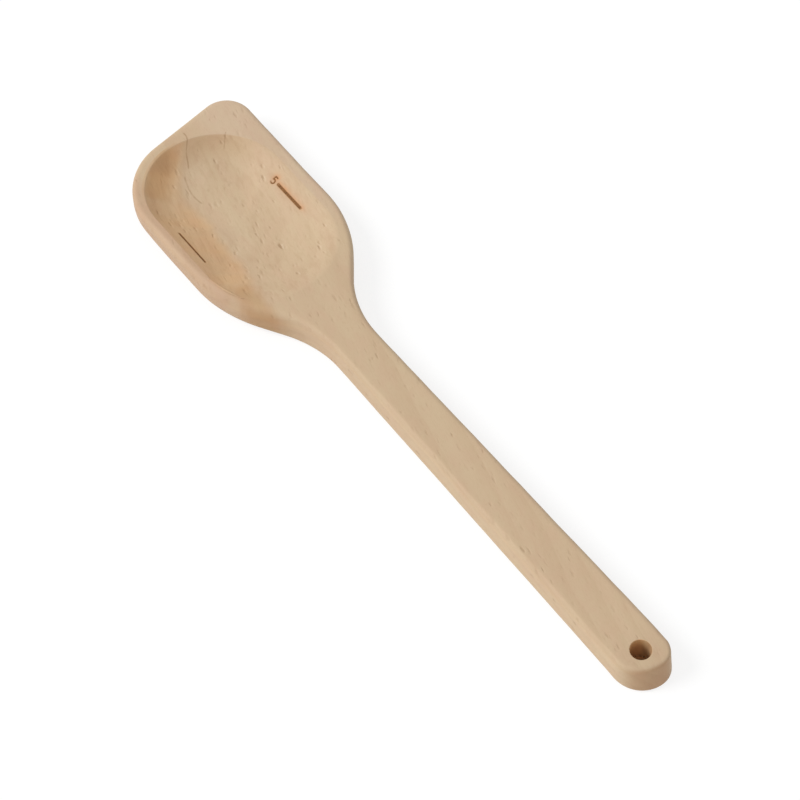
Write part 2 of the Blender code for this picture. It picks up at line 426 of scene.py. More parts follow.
def matched_outlines():
    """The columns of the body: board edge, its normals, and the curve on the top that each runs to.

    Right of the handle each column runs from the edge to a seam along the handle's axis, round
    the head to the bowl's rim, then to the seam again, and round the end to the hole's rim.
    """
    points, normals = board_outline()
    points, normals = np.vstack([points, points[:1]]), np.vstack([normals, normals[:1]])
    along = lengths_along(points)
    tip = points[:, 0].argmax()
    seam_rear = HOLE_FROM_END + HOLE_RADIUS + HOLE_EASE
    first, last = seam_rear + SEAM_AFTER_HOLE, bowl_rear - SEAM_BEFORE_BOWL
    stations = np.linspace(first, last, round((last - first) / HANDLE_SPACING) + 1)
    right = np.interp(stations, points[:tip + 1, 0], along[:tip + 1])
    left = np.interp(stations, points[tip:, 0][::-1], along[tip:][::-1])

    rim, rim_out = bowl_rim()
    rim_along = lengths_along(rim)
    wanted = rim_lengths(rim_along, rim)
    met = first_met(rim, rim_out, points)
    met_along = np.interp(met, np.arange(len(points)), along)
    met_station = np.interp(met, np.arange(len(points)), points[:, 0])
    kept = (met_station > last + RIM_AFTER_SEAM) & (met_along > right[-1]) & (met_along < left[-1])
    keys = np.concatenate([[0.0], rim_along[kept], [rim_along[-1]]])
    values = np.concatenate([[right[-1]], met_along[kept], [left[-1]]])
    head = np.interp(wanted, keys, np.maximum.accumulate(values))[1:-1]
    rim_points = at_lengths(rim, rim_along, wanted)

    end = np.linspace(left[0], along[-1] + right[0], END_SIDES + 1)[1:-1] % along[-1]
    ring = np.concatenate([right, head, left[::-1], end])
    edge = at_lengths(points, along, ring)
    out = unit(at_lengths(normals, along, ring))

    seam = np.linspace(seam_rear, bowl_rear, len(stations))
    seam = np.column_stack([seam, np.full(len(seam), HANDLE_OFFSET)])
    hole_rim = hole_middle + (HOLE_RADIUS + HOLE_EASE) * circle(END_SIDES)[1:-1]
    inner = np.vstack([seam, rim_points[1:-1], seam[::-1], hole_rim])
    sizes = {"handle": len(stations), "head": len(head)}
    return edge, out, inner, rim_points, sizes


# Wall of the bowl


def bowl_section(bearing):
    """Fullness of the bowl and ease of its rim, by the way out from its middle.

    The bowl is fuller towards the front and shallower towards the handle. Its rim is crisp at
    the front and on the left, and rolls into the top behind and on the right.
    """
    front, rear = np.cos(bearing - FRONT_BEARING), -np.cos(bearing)
    fullness = mixed(BOWL_FULLNESS, FRONT_FULLNESS, smooth_step(front, *FRONT_FADE))
    fullness += (REAR_FULLNESS - BOWL_FULLNESS) * smooth_step(rear, *REAR_FADE)
    crisp = smooth_step(np.cos(bearing - CRISP_BEARING), *CRISP_FADE)
    return fullness, mixed(SOFT_RIM_EASE, CRISP_RIM_EASE, crisp)


def carved_depth(share, bearing):
    """Depth under the top, this share of the way from the bowl's middle to its rim.

    The depth falls off by a power of the share. Close to the rim it starts level instead:
    the plain depth less the ease times one minus e to the power of minus depth over ease,
    stretched so that the middle keeps its depth.
    """
    fullness, ease = bowl_section(bearing)
    plain = bowl_depth * (1 - np.minimum(share, 1.0) ** fullness)
    lost = ease * (1 - np.exp(-bowl_depth / ease))
    return (plain - ease * (1 - np.exp(-plain / ease))) * bowl_depth / (bowl_depth - lost)


def share_at(depth):
    """Share of the way out at which the side walls are this deep."""
    return (1 - depth / bowl_depth) ** (1 / BOWL_FULLNESS)


def wall_slope(share):
    """Angle of the side walls: the arc tangent of the depth's change over the way out."""
    return np.arctan(bowl_depth * BOWL_FULLNESS * share ** (BOWL_FULLNESS - 1) / bowl_half_width)


def on_wall(side, mark_depth, station, rise, proud):
    """Points on a side wall of the bowl; side is +1 for left.

    rise is measured up the wall from the level of the mark, and proud square to the wall.
    """
    middle = share_at(mark_depth)
    slope = wall_slope(middle)
    share = middle + rise * math.cos(slope) / bowl_half_width
    y = bowl_middle[1] + side * (share * bowl_half_width - proud * math.sin(slope))
    bearing = np.arctan2(y - bowl_middle[1], station - bowl_middle[0])
    z = BOARD_THICKNESS - carved_depth(share, bearing) + proud * math.cos(slope)
    return np.stack(np.broadcast_arrays(to_world(station), y, z), axis=-1)


def number_path():
    """The figure 5 as one stroke: cap bar from its right end, stem, then a bowl that turns clockwise.

    Its height is 1, with x to the reader's right and the foot at y = 0.
    """
    bar_left, bar_right = 0.14, 0.54
    half_bowl = np.array([0.29, 0.31])
    bowl = half_bowl * (1 + on_circle(np.radians(np.linspace(128, -140, 40))))
    return np.vstack([[[bar_right, 1.0], [bar_left, 1.0]], bowl])


def number_on_wall():
    """The figure's path as station and rise: it reads towards the handle, its top up the wall."""
    middle = np.array([0.30, 0.5])
    path = (number_path() - middle) * NUMBER_HEIGHT
    return np.column_stack([number_station - path[:, 0], path[:, 1]])


def distance_to_path(place, path):
    """Shortest distance from each place to a line of points, by its stretches in turn."""
    nearest = np.full(len(place), np.inf)
    for start, stop in zip(path, path[1:]):
        way = stop - start
        share = np.clip((place - start) @ way / (way @ way), 0, 1)
        nearest = np.minimum(nearest, np.linalg.norm(place - start - share[:, None] * way, axis=1))
    return nearest


def line_path(station, length):
    """A level line's two ends, as station and rise."""
    return np.array([[station - length / 2, 0.0], [station + length / 2, 0.0]])


# Side of the bowl, which is +1 for left, depth under the top, width of the stroke, and its path
MARKS = {
    "measure_line_left": (
        1, LEFT_MARK_DEPTH, LEFT_MARK_WIDTH, line_path(left_mark_station, LEFT_MARK_LENGTH)),
    "measure_line_right": (
        -1, RIGHT_MARK_DEPTH, RIGHT_MARK_WIDTH, line_path(right_mark_station, RIGHT_MARK_LENGTH)),
    "measure_number": (-1, RIGHT_MARK_DEPTH, NUMBER_STROKE, number_on_wall()),
}


def clearance_from_mark(place, share, side, mark_depth, width, path):
    """Distance along the wall from the edge of a mark's stroke; below zero inside the stroke."""
    middle = share_at(mark_depth)
    rise = (share - middle) * bowl_half_width / math.cos(wall_slope(middle))
    gap = distance_to_path(np.column_stack([place[:, 0], rise]), path) - width / 2
    return np.where(side * (place[:, 1] - bowl_middle[1]) > 0, gap, np.inf)


# Body


def quads_of(rows, columns, closed):
    """Corner indices of a grid's faces, anticlockwise where columns run left and rows run up."""
    index = np.arange(rows * columns).reshape(rows, columns)
    after = np.roll(index, -1, axis=1) if closed else index[:, 1:]
    here = index if closed else index[:, :-1]
    return np.stack([here[:-1], after[:-1], after[1:], here[1:]], axis=-1).reshape(-1, 4)


def mesh_of(name, sheets):
    """One closed mesh from grids of points whose borders lie on each other.

    sheets is a list of (points as rows by columns by three, closed, flipped).
    """
    places, faces, count = [], [], 0
    for points, closed, flipped in sheets:
        rows, columns, _ = points.shape
        quads = quads_of(rows, columns, closed) + count
        faces.append(quads[:, ::-1] if flipped else quads)
        places.append(points.reshape(-1, 3))
        count += rows * columns
    mesh = bpy.data.meshes.new(name)
    mesh.from_pydata(np.vstack(places), [], np.vstack(faces))
    bm = bmesh.new()
    bm.from_mesh(mesh)
    bmesh.ops.remove_doubles(bm, verts=bm.verts, dist=MERGE_DISTANCE)
    bmesh.ops.dissolve_degenerate(bm, edges=bm.edges, dist=SLIVER)
    bm.to_mesh(mesh)
    bm.free()
    return mesh


def between(outer, inner, steps):
    """Rows of points on straight lines from an outer ring to an inner one."""
    return mixed(outer, inner, np.linspace(0, 1, steps + 1)[:, None, None])


def raised(flat, height):
    """Stations and Y with a height put to them, in the world's frame."""
    height = np.broadcast_to(height, flat.shape[:-1])
    return np.stack([to_world(flat[..., 0]), flat[..., 1], height], axis=-1)


def thinned_front(points):
    """Lifts the underside to the front lip by the square of the way into it; the top stays."""
    way_in = np.maximum(0.0, (points[..., 0] - to_world(lip_start)) / LIP_LENGTH)
    rise = (BOARD_THICKNESS - LIP_THICKNESS) * way_in ** 2
    lifted = points.copy()
    lifted[..., 2] = rise + points[..., 2] * (BOARD_THICKNESS - rise) / BOARD_THICKNESS
    return lifted


def shell_sheet(edge, out, radius_top, radius_under, lean):
    """The board's side: a quarter circle up from the underside, a wall, a quarter circle to the top.

    Above the lower quarter circle each point is also drawn in by the lean times its way up.
    """
    quarter = np.linspace(0, math.pi / 2, EDGE_STEPS + 1)[:, None]
    wall = np.array(WALL_LEVELS)[:, None]
    insets = np.vstack([
        radius_under * (1 - np.sin(quarter)),
        np.zeros((len(wall), len(edge))),
        radius_top * (1 - np.cos(quarter)),
    ])
    heights = np.vstack([
        radius_under * (1 - np.cos(quarter)),
        radius_under + wall * (BOARD_THICKNESS - radius_top - radius_under),
        BOARD_THICKNESS - radius_top * (1 - np.sin(quarter)),
    ])
    insets += lean * np.maximum(0, heights - radius_under) / (BOARD_THICKNESS - radius_under)
    return raised(edge - out * insets[..., None], heights)


def bowl_shares():
    """Shares from rim to middle, closer together at the rim and where the marks are burned."""
    rim = 1 - np.array([0.0, 0.0015, 0.003, 0.005, 0.008, 0.012, 0.018, 0.026])
    upper = np.linspace(0.96, 0.885, 4)
    marks = np.arange(0.875, 0.69, -0.0065)
    floor = np.linspace(0.68, 0.0, 34)
    return np.concatenate([rim, upper, marks, floor])


def bowl_sheet(rim):
    """The carved bowl: the rim drawn in towards the middle, each ring at its share's depth.

    Hand sanding adds slow waves that die out at the rim, and the burned marks sink into the
    wall, square to it, as grooves with soft edges.
    """
    shares = bowl_shares()
    flat = mixed(bowl_middle, rim, shares[:, None, None])
    _, bearing = polar(rim, bowl_middle)
    depth = carved_depth(shares[:, None], bearing)
    waves = wander(flat[..., 0], 1.0, BOWL_WAVES[0]) * wander(flat[..., 1], 2.0, BOWL_WAVES[1])
    depth += HAND_SANDING * waves * (1 - shares[:, None] ** 8)
    sheet = raised(flat, BOARD_THICKNESS - depth)
    place = flat.reshape(-1, 2)
    share = np.repeat(shares, len(rim))
    sink = np.zeros(len(place))
    for side, mark_depth, width, path in MARKS.values():
        gap = clearance_from_mark(place, share, side, mark_depth, width, path)
        sink = np.maximum(sink, GROOVE_DEPTH * (1 - smooth_step(gap, *GROOVE_EDGE)))
    slope = wall_slope(share)
    side = np.sign(place[:, 1] - bowl_middle[1])
    sheet.reshape(-1, 3)[:, 1] += side * sink * np.sin(slope)
    sheet.reshape(-1, 3)[:, 2] -= sink * np.cos(slope)
    return sheet


def hole_sheet():
    """The hanging hole: an eased edge, a straight bore and an eased edge again, from the top down."""
    quarter = np.linspace(0, math.pi / 2, BORE_EDGE_STEPS + 1)
    radii = HOLE_RADIUS + np.concatenate([
        HOLE_EASE * (1 - np.sin(quarter)),
        np.zeros(len(BORE_LEVELS)),
        HOLE_UNDER_EASE * (1 - np.cos(quarter)),
    ])
    heights = np.concatenate([
        BOARD_THICKNESS - HOLE_EASE * (1 - np.cos(quarter)),
        np.array(BORE_LEVELS) * BOARD_THICKNESS,
        HOLE_UNDER_EASE * (1 - np.sin(quarter)),
    ])
    flat = hole_middle + radii[:, None, None] * circle(END_SIDES)[:-1]
    return raised(flat, heights[:, None])


def under_seam(inner, sizes):
    """The top's inner curve, with the bowl's rim replaced by a seam along the head's middle.

    Round the hole it is drawn in to the lower edge's radius.
    """
    seam = inner.copy()
    hole = np.arange(-END_SIDES, 1)
    wider = (HOLE_EASE - HOLE_UNDER_EASE) / (HOLE_RADIUS + HOLE_EASE)
    seam[hole] = mixed(seam[hole], hole_middle, wider)
    first, count = sizes["handle"], sizes["head"]
    share = np.arange(1, count + 1) / (count + 1)
    way = 1 - np.abs(2 * share - 1)
    seam[first:first + count, 0] = bowl_rear + way * (bowl_front - UNDER_SEAM_BEFORE_RIM - bowl_rear)
    seam[first:first + count, 1] = HANDLE_OFFSET * (1 - way)
    return seam


def end_lean(out):
    """How far the handle's end is drawn in at the top, by the way that its outline faces.

    The lean fades out towards the handle's sides: it is the product of two smooth steps, one
    of the normal's part towards each corner. It is stronger at the left corner.
    """
    to_left = out @ LEFT_CORNER_WAY
    fade = smooth_step(to_left, *LEFT_CORNER_FADE)
    fade *= smooth_step(out @ RIGHT_CORNER_WAY, *RIGHT_CORNER_FADE)
    return fade * (END_LEAN + END_EXTRA_LEAN * smooth_step(to_left, *END_EXTRA_FADE))


def body_mesh():
    """The carved body: side, top, bowl, bore and underside, with its edge radii all round.

    The top edge's radius wanders, grows along the left shoulder and changes from right to left
    at the handle's end. The lower edge's grows from the handle to the head.
    """
    edge, out, inner, rim, sizes = matched_outlines()
    station, y = edge.T
    at_end = 1 - smooth_step(station, 0.0, END_REACH)
    top = TOP_EDGE_RADIUS * (1 + EDGE_WANDER * wander(station + y, 3.0, EDGE_WAVE))
    shoulder = smooth_step(station, *SHOULDER_SOFT_START) * (1 - smooth_step(station, *SHOULDER_SOFT_STOP))
    top += SHOULDER_SOFTENING * shoulder * (y > 0)
    end_edge = mixed(END_EDGE_RIGHT, END_EDGE_LEFT, smooth_step(out[:, 1], *END_EDGE_FADE))
    top += (end_edge - TOP_EDGE_RADIUS) * at_end
    head_share = smooth_step(station, NECK_STATION, SHOULDER_STATION)
    under = mixed(HANDLE_UNDER_RADIUS, HEAD_UNDER_RADIUS, head_share)
    under += (END_UNDER_RADIUS - HANDLE_UNDER_RADIUS) * at_end
    lean = at_end * end_lean(out)
    sanded = HAND_SANDING * (1 + wander(lengths_along(edge), 5.0, OUTLINE_WAVE))
    edge = edge - out * sanded[:, None]
    shell = shell_sheet(edge, out, top, under, lean)
    top_sheet = between(shell[-1], raised(inner, BOARD_THICKNESS), TOP_STEPS)
    under_sheet = between(shell[0], raised(under_seam(inner, sizes), 0.0), UNDER_STEPS)
    return mesh_of("spatula_body_carved", [
        (thinned_front(shell), True, False),
        (thinned_front(top_sheet), True, False),
        (bowl_sheet(rim[:-1]), True, False),
        (hole_sheet(), True, False),
        (thinned_front(under_sheet), True, True),
    ])


def paint(mesh, name, values):
    """A number for each vertex, which the material reads as an attribute."""
    attribute = mesh.attributes.new(name, "FLOAT", "POINT")
    attribute.data.foreach_set("value", np.ascontiguousarray(values, dtype=np.float32))


def of_vertices(mesh, name):
    """A vector of each vertex: its place as co, or its normal."""
    vectors = np.empty(3 * len(mesh.vertices), dtype=np.float32)
    mesh.vertices.foreach_get(name, vectors)
    return vectors.reshape(-1, 3).astype(float)


def bowl_share_of(flat):
    """How far out of the bowl's middle a place lies, as a share of the rim's distance that way.

    Its bearing from the middle comes with it.
    """
    rim, _ = bowl_rim()
    along = lengths_along(rim)
    rim = at_lengths(rim, along, np.linspace(0, along[-1], RIM_SAMPLES)[:-1])
    rim_reach, rim_bearing = polar(rim, bowl_middle)
    reach, bearing = polar(flat, bowl_middle)
    return reach / np.interp(bearing, rim_bearing, rim_reach, period=2 * math.pi), bearing


def surface_of(mesh):
    """Where each vertex lies, as named arrays.

    Share and bearing are its way out of the bowl. Carved says that it is on the bowl's wall,
    and outside goes from 0 on that wall to 1 past the rim.
    """
    places = of_vertices(mesh, "co")
    flat = places[:, :2] - [cad_low.x, 0.0]
    share, bearing = bowl_share_of(flat)
    wall = BOARD_THICKNESS - carved_depth(share, bearing) - WALL_SLACK
    return SimpleNamespace(
        places=places,
        flat=flat,
        station=flat[:, 0],
        y=flat[:, 1],
        share=share,
        bearing=bearing,
        carved=(share < BOWL_MARGIN) & (places[:, 2] > wall),
        outside=smooth_step(share, *RIM_FADE),
    )


def paint_burns(mesh, surface):
    """Scorch: how near a vertex is to a burned stroke, and glow, up the wall from the wide line.

    Both fall off as e to the power of minus the distance from the stroke's edge over a reach.
    """
    places = surface.places
    near, far = np.zeros((2, len(places)))
    for side, mark_depth, width, path in MARKS.values():
        line = on_wall(side, mark_depth, path[:, 0], path[:, 1], 0.0)
        box = np.abs(places - line.mean(axis=0)).max(axis=1) < BURN_BOX
        inside = np.flatnonzero(box & (places[:, 2] > BOARD_THICKNESS - bowl_depth))
        gap = np.maximum(0.0, distance_to_path(places[inside], line) - width / 2)
        near[inside] = np.maximum(near[inside], np.exp(-gap / SCORCH_REACH))
        if side > 0:
            continue
        above = smooth_step(places[inside, 2] - line[:, 2].mean(), *GLOW_EDGE)
        patchy = mixed(1, wander(places[inside, 0], 4.0, GLOW_WAVE), GLOW_PATCHES)
        glow = np.exp(-gap / GLOW_REACH) * mixed(GLOW_BELOW, 1.0, above) * patchy
        far[inside] = np.maximum(far[inside], glow)
    paint(mesh, "scorch", near)
    paint(mesh, "glow", far)


def paint_bowl(mesh, surface):
    """Tones of the carved wood, as shares.

    Carved: 1 in the bowl, less at its rim.
    Rub: where the cutter darkened the carved wall. It grows to the left of a line that wanders
    along the bowl, with its Y interpolated between its points.
    Painted shade: the bowl's front left corner, by the distance from a point.
    Clear: painted light at the foot of the left wall, by the distance from a path.
    """
    station, y, carved, outside = surface.station, surface.y, surface.carved, surface.outside
    paint(mesh, "carved", carved * (1 - smooth_step(surface.share, *CARVED_FADE)))
    line = np.interp(station, *np.array(RUB_LINE).T)
    line += RUB_LINE_WANDER * wander(station, 2.0, RUB_LINE_WAVE)
    rub = smooth_step(y - line, *RUB_EDGE) * (1 - RUB_RIM_LOSS * outside)
    rub *= mixed(1, wander(station - 0.6 * y, 6.0, RUB_WAVE), RUB_PATCHES)
    rub *= smooth_step(station, *RUB_START) * (1 - RUB_WANE * smooth_step(station, *RUB_WANE_START))
    paint(mesh, "rub", carved * rub)
    from_corner, _ = polar(surface.flat, FRONT_CORNER)
    # Painted shade in the bowl's front left corner
    paint(mesh, "corner_shade", carved * (1 - smooth_step(from_corner, *FRONT_CORNER_EDGE)) * (1 - outside))
    # Painted light at the foot of the bowl's left wall
    from_foot = distance_to_path(surface.flat, np.array(PAINTED_LIGHT_FOOT))
    paint(mesh, "clear", carved * (1 - smooth_step(from_foot, *PAINTED_LIGHT_EDGE)))


def paint_stains(mesh, surface):
    """Stain: a band over the left shoulder and one at the bowl's front left. The front wall is darker too.

    Each band fades with the distance from its middle line. The front wall's fainter darkening, browner
    as well, fades with the bearing, and down the wall.
    """
    stain = np.zeros(len(surface.flat))
    above_foot = surface.places[:, 2] > STAIN_LOWEST
    for path, where in ((SHOULDER_STAIN, above_foot), (FRONT_STAIN, surface.carved)):
        aside = distance_to_path(surface.flat, np.array(path))
        aside *= 1 + STAIN_PATCHES * wander(surface.station + surface.y, 3.0, STAIN_WAVE)
        stain = np.maximum(stain, where * (1 - smooth_step(aside, *STAIN_EDGE)))
    front = smooth_step(np.cos(surface.bearing - FRONT_WALL_BEARING), *FRONT_WALL_FADE)
    front *= smooth_step(surface.share, *FRONT_WALL_EDGE) * (1 - surface.outside)
    paint(mesh, "stain", np.maximum(stain, FRONT_WALL_DARKENING * surface.carved * front))


def paint_top_tones(mesh, surface):
    """Tones of the flat top and the rounded edges, as shares.

    Edge shade: painted shade on the rounded left edge of the handle and the shoulder, by how far
    its normal points up, and a weaker darkening of the top round the hanging hole.
    Left rim shade: painted shade, a little pinker, on the rim and side left of the bowl. Pale: the
    rim and tip right of it. Both grow with the distance sideways.
    """
    station, y, outside = surface.station, surface.y, surface.outside
    upward = of_vertices(mesh, "normal")[:, 2]
    rounded = smooth_step(upward, *ROUNDED_START) * (1 - smooth_step(upward, *ROUNDED_STOP))
    # Painted shade on the rounded left edge, which hides the highlight there
    edge_shade = (y > 0) * rounded * (1 - smooth_step(station, *EDGE_SHADE_STOP))
    end_top = smooth_step(upward, *TOP_START) * (1 - smooth_step(station, *END_TOP_STOP))
    paint(mesh, "edge_shade", outside * np.maximum(edge_shade, END_TOP_TONE * end_top))
    # Painted shade, a little pinker, on the rim and side left of the bowl
    paint(mesh, "left_rim_shade", outside * smooth_step(y, *LEFT_RIM_SHADE_EDGE) * smooth_step(station, *LEFT_RIM_SHADE_START))
    paint(mesh, "pale", outside * smooth_step(-y, *PALE_EDGE) * smooth_step(station, *PALE_START))


def paint_bore(mesh, surface):
    """Bore: 1 on the hanging hole's wall, and fading out over its eased edge.

    Shade on the bore: painted shade on the side of that wall that the key light falls on, by the bearing
    from the hole's middle.
    """
    # The bore's tint is painted light, brighter and warmer, and the second tone is painted shade on the
    # side that the key light falls on
    reach, bearing = polar(surface.flat, hole_middle)
    bore = 1 - smooth_step(reach - HOLE_RADIUS, *BORE_FADE)
    paint(mesh, "bore", bore)
    # Painted shade on the lit side of the bore
    paint(mesh, "bore_shade", bore * smooth_step(np.cos(bearing - BORE_SHADE_BEARING), *BORE_SHADE_FADE))


def ribbon_mesh(name, side, mark_depth, width, path):
    """A closed ribbon of char: a flat oval section carried along the mark's stroke in the wall.

    Its half width wanders slowly along the stroke, and closes at both ends by the square root
    of one minus the square of the way into the rounded end. Round the section, width and
    thickness are the square roots of a cosine and a sine, with their signs kept.
    """
    along = lengths_along(path)
    wanted = np.linspace(0, along[-1], max(CHAR_FEWEST, round(along[-1] / CHAR_SPACING)))
    spine = at_lengths(path, along, wanted)
    way = unit(np.gradient(spine, axis=0))
    across = np.column_stack([-way[:, 1], way[:, 0]])
    nearest_end = np.minimum(wanted, along[-1] - wanted)
    closing = np.sqrt(1 - np.clip(1 - nearest_end / (width / 2), 0, 1) ** 2)
    ragged = 1 + CHAR_RAGGEDNESS * wander(wanted, 7.0, CHAR_WAVE)
    half = (width / 2 + CHAR_OVERLAP) * ragged * closing
    section = circle(CHAR_SIDES)[:-1]
    wide, tall = (np.sign(section) * np.abs(section) ** 0.5).T
    flat = spine + across * (wide[:, None] * half)[..., None]
    proud = tall[:, None] * (CHAR_DEPTH / 2) * closing ** 0.5 - CHAR_RECESS - CHAR_DEPTH / 2
    points = on_wall(side, mark_depth, flat[..., 0], flat[..., 1], proud)
    return mesh_of(name, [(np.swapaxes(points, 0, 1), True, False)])


def add_object(name, data):
    added = bpy.data.objects.new(name, data)
    bpy.context.scene.collection.objects.link(added)
    return added


def add_piece(name, mesh, material, node):
    """A finished piece that stands for a CAD node and rides with the frame's only body."""
    piece = add_object(name, mesh)
    mesh.materials.append(material)
    mesh.shade_smooth()
    bm = bmesh.new()
    bm.from_mesh(mesh)
    bmesh.ops.recalc_face_normals(bm, faces=bm.faces)
    bm.to_mesh(mesh)
    bm.free()
    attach(piece, "root")
    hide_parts(node)
    return piece


# Materials


def new_material(name):
    material = bpy.data.materials.new(name)
    material.use_nodes = True
    return material, material.node_tree, material.node_tree.nodes["Principled BSDF"]


def add_node(tree, kind, *inputs, **settings):
    """A node whose inputs, in their order, are wired to sockets or set to values."""
    node = tree.nodes.new(kind)
    for name, value in settings.items():
        setattr(node, name, value)
    for socket, value in zip([s for s in node.inputs if s.enabled], inputs):
        if isinstance(value, bpy.types.NodeSocket):
            tree.links.new(value, socket)
        elif value is not None:
            socket.default_value = value
    return node


def result_of(tree, kind, *inputs, **settings):
    """The first output that a new node's settings leave in use."""
    node = add_node(tree, kind, *inputs, **settings)
    return next(socket for socket in node.outputs if socket.enabled)


def maths(tree, operation, *inputs):
    return result_of(tree, "ShaderNodeMath", *inputs, operation=operation)


def vector_maths(tree, operation, *inputs):
    return result_of(tree, "ShaderNodeVectorMath", *inputs, operation=operation)


def mix_colours(tree, share, first, second, blend="MIX"):
    return result_of(tree, "ShaderNodeMix", share, first, second, data_type="RGBA", blend_type=blend)


def painted(tree, name):
    """What a paint function left on the mesh under this name."""
    return add_node(tree, "ShaderNodeAttribute", attribute_name=name).outputs["Fac"]


def rises(tree, value, low, high, start=0.0, stop=1.0):
    """The start below low, the stop above high, and eased between them."""
    return result_of(
        tree, "ShaderNodeMapRange", value, low, high, start, stop, interpolation_type="SMOOTHSTEP")


def falls(tree, value, low, high):
    """1 below low, 0 above high, and eased between them."""
    return rises(tree, value, low, high, 1.0, 0.0)


def stronger_where(tree, pattern, where, extra, everywhere):
    """A pattern with one strength everywhere, and an extra one where something is painted."""
    return maths(tree, "MULTIPLY", pattern, maths(tree, "MULTIPLY_ADD", where, extra, everywhere))


def stretched(tree, place, cell, shift=(0, 0, 0)):
    """The place divided by a cell's three lengths, so that a pattern's patches get that size."""
    return result_of(tree, "ShaderNodeMapping", place, shift, None, tuple(1 / size for size in cell))


def noise(tree, place, cell, shift=(0, 0, 0), detail=2.0, roughness=0.5, distortion=0.0, output="Fac"):
    """A soft random pattern with patches of a cell's size."""
    node = add_node(
        tree, "ShaderNodeTexNoise", stretched(tree, place, cell, shift), 1.0, detail, roughness)
    node.inputs["Distortion"].default_value = distortion
    return node.outputs[output]


def add_bump(tree, shader, height, strength, distance):
    node = add_node(tree, "ShaderNodeBump")
    node.inputs["Strength"].default_value = strength
    node.inputs["Distance"].default_value = distance
    tree.links.new(height, node.inputs["Height"])
    tree.links.new(node.outputs[0], shader.inputs["Normal"])


# Fibre and growth rings, in millimetres
FIBRE_ANGLE = math.radians(14)
FIBRE_DIP = -0.15
FIBRE = (math.cos(FIBRE_ANGLE), -math.sin(FIBRE_ANGLE), FIBRE_DIP)
FIBRE_SWAY = (0.0, 3.0, 3.0)
HEART_ASIDE = 18.0
HEART_BELOW = 46.0
RING_WIDTH = 4.1

# Patches of the wood's patterns: millimetres along the fibre, across it and through the board
SWAY_CELL = (30, 9, 9)
DRIFT_CELL = (55, 11, 11)
MOTTLE_CELL = (8, 4.5, 6)
STREAK_CELL = (13, 0.9, 3.0)
TORN_CELL = (5.0, 1.6, 3.0)
PORE_CELL = (1.5, 0.26, 0.26)
GRAIN_CELL = (2.2, 0.16, 0.16)
BROKEN_CELL = (2.6, 2.6, 9)
RAGGED_CELL = (2.2, 1.1, 4)
GROUP_CELL = (9, 5, 8)

# Ray flecks: length and width of their cells, a shift of the pattern, and how rare the strong ones are
FLECKS = ((7.5, 1.9, (0, 0, 0), 1.9), (5.0, 1.5, (9, 3, 1), 2.6))
FLECK_THROUGH = 3.5
FLECK_RAGGEDNESS = (2.2, 1.3, 0.0)
# Shift of the pale flecks that are a painted highlight beside the dark ones
HIGHLIGHT_ASIDE = (0.5, 0.6, 0.0)

# How far the growth lines' curves reach sideways, and the height over the underside where they start
GROWTH_REACH = 24.0
GROWTH_START = (3.0, 4.5)

# Colours
BEECH_PALE = (0.592, 0.447, 0.288, 1)
BEECH_ROSY = (0.576, 0.423, 0.273, 1)
BEECH_DARK = (0.40, 0.25, 0.135, 1)
FLECK = (0.33, 0.20, 0.105, 1)
# Pale flecks beside the dark ones, a painted highlight
FLECK_HIGHLIGHT = (0.72, 0.58, 0.41, 1)
MOTTLED = (1.0, 0.975, 0.985, 1)
END_GRAIN = (0.87, 0.75, 0.66, 1)
SCORCHED = (0.30, 0.145, 0.05, 1)
CHAR_DARK = (0.12, 0.050, 0.013, 1)
CHAR_BROWN = (0.27, 0.120, 0.032, 1)
CHAR_CELL = (1 / 2200, 1 / 2200, 1 / 2200)
PAPER = (0.88, 0.88, 0.88, 1)
PAPER_SEEN = (0.24, 0.24, 0.24, 1)
PAPER_GLOW = 0.79
# Painted brown shade on the paper under the hanging hole, where the light comes off the wood
UNDER_HOLE_SHADE = (0.60, 0.34, 0.17, 1)
UNDER_HOLE_EDGE = (0.0060, 0.0080)

# What each painted tone multiplies the colour by; some are painted shade or painted light
TINTS = {
    "rub": (1.13, 1.0, 0.855, 1),
    "stain": (0.90, 0.80, 0.69, 1),
    # Painted shade, a little pinker, on the rim and side left of the bowl
    "left_rim_shade": (0.93, 0.865, 0.865, 1),
    "pale": (1.04, 1.05, 1.11, 1),
    "glow": (1.0, 0.58, 0.33, 1),
    # Painted light in the hanging hole's bore, brighter and warmer
    "bore": (1.46, 1.42, 1.24, 1),
    # Painted shade on the lit side of the hanging hole's bore
    "bore_shade": (0.58, 0.54, 0.52, 1),
    # Painted shade in the bowl's front left corner
    "corner_shade": (0.89, 0.87, 0.86, 1),
    # Painted light at the foot of the bowl's left wall
    "clear": (1.06, 1.085, 1.105, 1),
    # Painted shade on the rounded left edge, and a darker top round the hanging hole
    "edge_shade": (0.93, 0.925, 0.925, 1),
}


